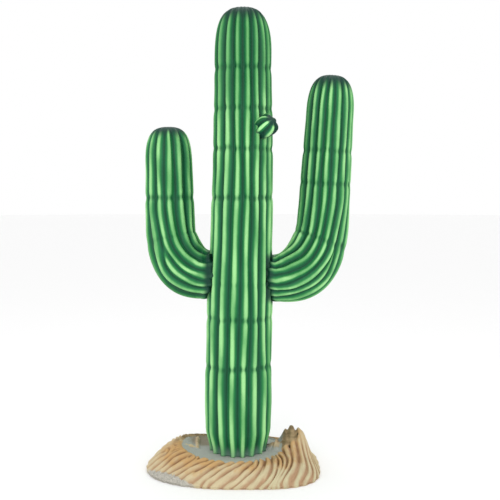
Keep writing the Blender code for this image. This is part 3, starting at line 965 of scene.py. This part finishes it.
def ridge_wave(turn, start, share, point):
    """Crests and furrows that wander, merge where they run close, and bend round the knots."""
    phase = turn + LONG_WANDER * ripple(start * 3, share, 4, waves=7, pitch=0.8)
    phase = phase + SHORT_WANDER * ripple(start * 11, share, 9, waves=6, pitch=1.6)
    from_crest = np.abs(np.remainder(phase + 0.5, 1) * 2 - 1)
    pitch = ridge_line(turn + 0.5, share) - ridge_line(turn - 0.5, share)
    in_knot = 0
    for *knot, reach, width in KNOTS:
        away = np.linalg.norm(point - knot, axis=1)
        bearing = np.arctan2(*(point - knot).T[[2, 0]])
        spiral = np.abs(np.remainder(away / width + bearing / tau, 1) * 2 - 1)
        near = ramp(away / reach, 1, 0.5) * (0.52 + 0.45 * np.cos(bearing - KNOT_BEARING))
        from_crest = from_crest + (spiral - from_crest) * near
        in_knot = np.maximum(in_knot, near)
    depth = 0.9 + 0.5 * ripple(start * 9, share, 71, waves=8, pitch=1.8)
    depth = np.clip(depth + 0.3 * ramp(share, 0.75, 0.95), 0.15, 1)
    depth = depth * ramp(np.degrees(pitch), *MERGING_PITCHES) * (1 - 0.3 * in_knot)
    return 1 - depth * from_crest ** (1.6 + 0.35 * share)


def sand_ridges(plan):
    """Height of the low ridges that stand in the sand, and their share of the full height."""
    height = 0
    share = 0
    for start, end, rise, spread in SAND_RIDGES:
        run = np.subtract(end, start)
        along = np.clip((plan - start) @ run / (run @ run), 0, 1)
        away = np.linalg.norm(plan - start - np.outer(along, run), axis=1)
        near = hump(away, spread) * (0.8 + 0.25 * np.sin(along * 5 + 60 * plan[:, 0]))
        height = np.maximum(height, rise * near)
        share = np.maximum(share, ramp(near, 0, 0.5))
    return height, share


def bare_rock(angle, up, x, z):
    """Where the rock is bare: inside the peak, on the rim at the back and at its left end."""
    lower_edge = BARE_FROM + BARE_CLIMB * (x - BARE_FROM_X)
    bare = ramp(z - lower_edge, -0.005, 0.005) * ramp(x, *BARE_RIGHT_SIDE) * ramp(x, *BARE_LEFT_SIDE)
    on_back_rim = ramp(np.sin(angle), *BACK_SINES) * ramp(up, 0.9, 0.98) * (x < 0.2)
    left_end = hump(turn_from(angle, pi) + 0.1, 0.34) * ramp(up, 0.72, 0.92) * (up < 1)
    return np.maximum(np.maximum(bare, 0.8 * on_back_rim), 0.55 * left_end)


def make_base():
    """The base: ridges that swirl up a carved slope to a rim round the sandy hollow."""
    look = bpy.context.scene.cactus_base
    floor = FOOT_HEIGHT - FLOOR_DROP
    kinds = np.repeat([0, 1, 2, 3], [EDGE_ROWS, SLOPE_ROWS, HOLLOW_ROWS, FLOOR_ROWS])
    shares = np.concatenate([
        np.linspace(0, 1, EDGE_ROWS, endpoint=False),
        np.linspace(0, SLOPE_END, SLOPE_ROWS),
        np.linspace(1, 0, HOLLOW_ROWS + 1)[1:],
        np.linspace(0.85, 0, FLOOR_ROWS),
    ])

    def place(column, row):
        share = shares[row]
        on_edge, on_slope, in_hollow, on_floor = (kinds[row] == number for number in range(4))
        turn = column / RIDGE_COLUMNS
        start = ridge_line(turn, 0)
        up = np.where(on_slope, share, np.where(on_edge, 0, 1))
        down = np.where(in_hollow, share, np.where(on_floor, 0, 1))
        angle = ridge_line(turn, up)
        plan = base_edge(angle) * (1 - up)[:, None] + hollow_edge(angle, down) * up[:, None]
        plan[on_floor] *= share[on_floor][:, None]
        x, y = plan[:, 0], plan[:, 1]
        peak = peak_height(x, y)
        on_peak = ramp(peak / PEAK_RISE, 0.35, 0.85)
        notch = sum(hump(x - notch_x, NOTCH_HALF_WIDTH) for notch_x in NOTCHES_X) * on_peak
        streak = ripple(start * 27, up, 61, waves=6, pitch=1.5)

        top = rim_height(angle)
        on_right = np.clip(np.cos(angle), 0, 1) ** 2
        steepness = SLOPE_STEEPNESS + (RIGHT_STEEPNESS - SLOPE_STEEPNESS) * on_right
        climb = 1 - (1 - up) ** steepness
        slope_z = EDGE_HEIGHT + (top - EDGE_HEIGHT) * climb + peak
        raw_side = hump(turn_from(angle, RAW_SIDE), RAW_SPREAD)
        crumble = ripple(start * 23, up, 14, waves=8, pitch=6)
        crumble += 0.6 * ripple(start * 61, up, 15, pitch=9)
        raw_top = (RAW_HEIGHT + CRUMBLE_DEPTH * crumble) * raw_side
        raw = raw_side * ramp(slope_z - raw_top, 0.01, 0)
        ridge = ridge_wave(turn, start, up, np.column_stack([plan, slope_z]))
        ridge += (1 - ridge) * 0.7 * on_peak
        ridge = np.minimum(ridge, 1 - 0.8 * notch)
        bare = bare_rock(angle, up, x, slope_z) * (1 - on_floor)
        relief = look.ridge_height * (ridge - RIDGE_MEAN) + STREAK_HEIGHT * streak
        relief *= 1 - 0.75 * bare
        slope_z += relief * (0.45 + 0.55 * ramp(up, 0, 0.3)) * (1 - 0.8 * raw)
        slope_z -= NOTCH_DEPTH * notch
        slope_z[on_edge] = EDGE_HEIGHT * share[on_edge]
        lump, lump_share = sand_ridges(plan)
        bare = bare + (0.45 * (x > 0) - bare) * lump_share
        hollow_z = floor + (top - floor + relief * ease(down)) * down ** HOLLOW_STEEPNESS
        hollow_z += peak * ease(down * 1.3 - 0.3) + lump * ramp(down, 1, 0.88)
        z = np.where(in_hollow, hollow_z, slope_z)
        z[on_floor] = floor
        # The largest dark patch is painted shade in the gap by the trunk's right foot
        hole_and_shadow = sum(hump(np.hypot(x - hole_x, y - hole_y), reach) for hole_x, hole_y, reach in HOLES_AND_SHADOW)
        z -= HOLE_DEPTH * hole_and_shadow * on_slope

        out = plan / np.maximum(np.linalg.norm(plan, axis=1), 1e-6)[:, None]
        near_rim = np.where(on_slope, ramp(up, 0.7, 1), down ** 2 * in_hollow)
        finger = RIM_FINGERS * (0.35 - ridge) * (1 - 0.8 * bare) * near_rim
        foot = FOOT_FINGERS * (ridge - 1) * ramp(up, 0.2, 0)
        foot -= (0.002 + 0.003 * raw_side) * (1 + crumble) * on_edge
        heaped = ramp(np.sin(angle), *BACK_SINES) * ramp(x, 0.03, 0.07) * (1 - on_peak)
        sand = np.where(in_hollow, ramp(down, 0.95, 0.81), on_floor)
        sand = np.maximum(sand, heaped * ramp(up, 0.88, 0.94)) * (1 - 0.75 * lump_share)
        paler = ramp(np.sin(angle), -0.25, 0.25) * ramp(x, 0.02, -0.18)
        marks = {
            "ridge": np.where(on_floor, 0.7, ridge),
            "streak": streak,
            "sand": sand,
            "climb": climb * np.where(in_hollow, 0.6 + 0.4 * down, 1) + 0.26 * ramp(x, 0.02, -0.3)
            - 0.5 * paler - 0.25 * lump_share,
            "raw": raw,
            "bare": bare,
            "hole_and_shadow": hole_and_shadow,
            # Painted shade: the sand darkens toward the back of the hollow, behind the trunk
            "back_shade": ramp(y, -0.01, 0.08) * (x < 0.1) * ramp(x, -0.27, -0.2),
            "worn": hump(turn_from(angle, WORN_SIDE), WORN_SPREAD) * (1 - up),
        }
        return np.column_stack([plan + out * (finger + foot)[:, None], z]), marks

    return bent_grid("cactus_base", len(RIDGES) * RIDGE_COLUMNS, len(kinds), place)


def stone_finish():
    """Resin carved and painted as sandstone, with grey sand in the hollow."""
    look = bpy.context.scene.cactus_base
    stone = Finish("painted sandstone", look.cream, 0.72, 0.25)
    marks = ("ridge", "streak", "climb", "sand", "raw", "bare", "hole_and_shadow", "worn", "back_shade")
    ridge, streak, climb, sand, raw, bare, hole_and_shadow, worn, back_shade = map(stone.mark, marks)
    cloud = stone.noise(24, 4) - 0.5
    patches = stone.noise(60, 3) - 0.5
    strata = stone.noise(16, 3, (1, 1, 5))
    gravel = stone.noise(170, 2, roughness=0.7)
    grain = stone.noise(420, 2)
    washed = stone.step(climb + cloud * 1.3 + streak * 0.12, 0.5, 1.15)
    crest = stone.blend(washed, stone.blend(worn, look.cream, look.pale), look.ochre)
    recess = stone.blend(washed, look.furrow, look.rust)
    height = ridge + cloud * 0.45 + streak * 0.18 + (grain - 0.5) * 0.1 - worn * 0.25
    carved = stone.blend(stone.step(height, 0.2, 0.92), recess, crest)
    olive = stone.blend(stone.step(strata, 0.3, 0.62), look.bare_dark, look.bare)
    faced = stone.blend(stone.step(bare + cloud * 0.4, 0.2, 0.8), carved, olive)
    # Painted shade: the sand at the back of the hollow darkens toward dark rock
    ground = stone.blend(stone.step(back_shade + cloud * 0.8, 0.2, 1) * 0.7, look.sand, look.bare_dark)
    sandy = stone.blend(stone.step(sand + patches * 1.1, 0.25, 0.8), faced, ground)
    # Dark brown in the holes, and in the painted shade by the trunk's right foot
    dotted = stone.blend(stone.step(hole_and_shadow, 0.3, 0.7), sandy, look.hole_and_shadow)
    whole = stone.blend(stone.step(raw + cloud * 0.5, 0.35, 0.65), dotted, look.raw)
    speckled = (grain - 0.5) * (0.25 + 0.2 * sand)
    speckled += (gravel - 0.5) * (0.1 + 2 * raw + 0.15 * sand)
    stone.set("Base Color", stone.tint(whole, 0.97 + 0.18 * cloud + speckled))
    stone.set("Roughness", 0.66 + 0.2 * grain)
    stone.bump(grain * (0.3 + 0.7 * sand) + cloud + gravel * 5 * raw, 0.0022, 0.6)
    return stone.material


def make_stage():
    """The floor, the lights and the camera."""
    scene = bpy.context.scene
    look = scene.cactus_stage
    shape = bmesh.new()
    bmesh.ops.create_circle(shape, cap_ends=True, radius=STAGE_RADIUS, segments=96)
    mesh = bpy.data.meshes.new("floor")
    shape.to_mesh(mesh)
    shape.free()
    floor = add_object("floor", mesh)
    floor.location.z = -0.0005
    mesh.materials.append(Finish("pale floor", look.floor, 0.9, 0.2).material)

    world = bpy.data.worlds.new("soft white room")
    world.use_nodes = True
    background = world.node_tree.nodes["Background"]
    background.inputs["Color"].default_value = (1, 1, 1, 1)
    background.inputs["Strength"].default_value = look.sky
    scene.world = world

    for name, spot, size, share in LAMPS:
        lamp = bpy.data.lights.new(name, "AREA")
        lamp.size = size
        lamp.energy = look.key * share
        holder = add_object(name, lamp)
        holder.location = spot
        holder.rotation_euler = (Vector(LAMPS_TARGET) - Vector(spot)).to_track_quat("-Z", "Y").to_euler()

    lens = bpy.data.cameras.new("camera")
    lens.lens = CAMERA_LENS
    lens.sensor_width = 36
    lens.clip_end = 200
    camera = add_object("camera", lens)
    camera.location = CAMERA_PLACE
    camera.rotation_euler = (pi / 2 - CAMERA_TILT, 0, 0)
    scene.camera = camera
    scene.view_settings.view_transform = "Standard"


class CACTUS_OT_trunk(Operator):
    """Make the trunk, with its waists and its dome"""

    bl_idname = "cactus.trunk"
    bl_label = "Trunk"

    def execute(self, context):
        seat(make_trunk(), skin_finish(), "skin", "trunk")
        return {"FINISHED"}


class CACTUS_OT_arms(Operator):
    """Make both arms, each from its joint at the trunk to its tip"""

    bl_idname = "cactus.arms"
    bl_label = "Arms"

    def execute(self, context):
        for arm in (LEFT_ARM, RIGHT_ARM):
            name = arm.name
            seat(make_arm(arm), skin_finish(), "skin", name + "_elbow", name + "_upright")
        return {"FINISHED"}


class CACTUS_OT_bud(Operator):
    """Make the bud on the front right of the trunk"""

    bl_idname = "cactus.bud"
    bl_label = "Bud"

    def execute(self, context):
        seat(make_bud(), skin_finish(), "skin", "bud")
        return {"FINISHED"}


class CACTUS_OT_base(Operator):
    """Make the carved base"""

    bl_idname = "cactus.base"
    bl_label = "Base"

    def execute(self, context):
        seat(make_base(), stone_finish(), "stone", "base")
        return {"FINISHED"}


class CACTUS_OT_stage(Operator):
    """Make the floor, the lights and the camera"""

    bl_idname = "cactus.stage"
    bl_label = "Stage"

    def execute(self, context):
        make_stage()
        return {"FINISHED"}


class CACTUS_PT_finish(Panel):
    """Lists the pieces of the cactus and their settings"""

    bl_idname = "CACTUS_PT_finish"
    bl_label = "Display Cactus"
    bl_space_type = "VIEW_3D"
    bl_region_type = "UI"
    bl_category = "Cactus"

    def draw(self, context):
        scene = context.scene
        for group in (scene.cactus_limbs, scene.cactus_paint, scene.cactus_base, scene.cactus_stage):
            box = self.layout.box()
            for name in group.__annotations__:
                box.prop(group, name)
        for operator in OPERATORS:
            self.layout.operator(operator.bl_idname)


GROUPS = {
    "cactus_limbs": CactusLimbs, "cactus_paint": CactusPaint,
    "cactus_base": CactusBase, "cactus_stage": CactusStage,
}
OPERATORS = (CACTUS_OT_stage, CACTUS_OT_trunk, CACTUS_OT_arms, CACTUS_OT_bud, CACTUS_OT_base)


def register():
    for name, group in GROUPS.items():
        bpy.utils.register_class(group)
        setattr(bpy.types.Scene, name, PointerProperty(type=group))
    for item in (*OPERATORS, CACTUS_PT_finish):
        bpy.utils.register_class(item)


def unregister():
    for item in (CACTUS_PT_finish, *reversed(OPERATORS)):
        bpy.utils.unregister_class(item)
    for name, group in GROUPS.items():
        delattr(bpy.types.Scene, name)
        bpy.utils.unregister_class(group)


def main():
    """Register the add-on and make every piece."""
    register()
    bpy.ops.cactus.stage()
    bpy.ops.cactus.trunk()
    bpy.ops.cactus.arms()
    bpy.ops.cactus.bud()
    bpy.ops.cactus.base()


if __name__ == "__main__":
    main()
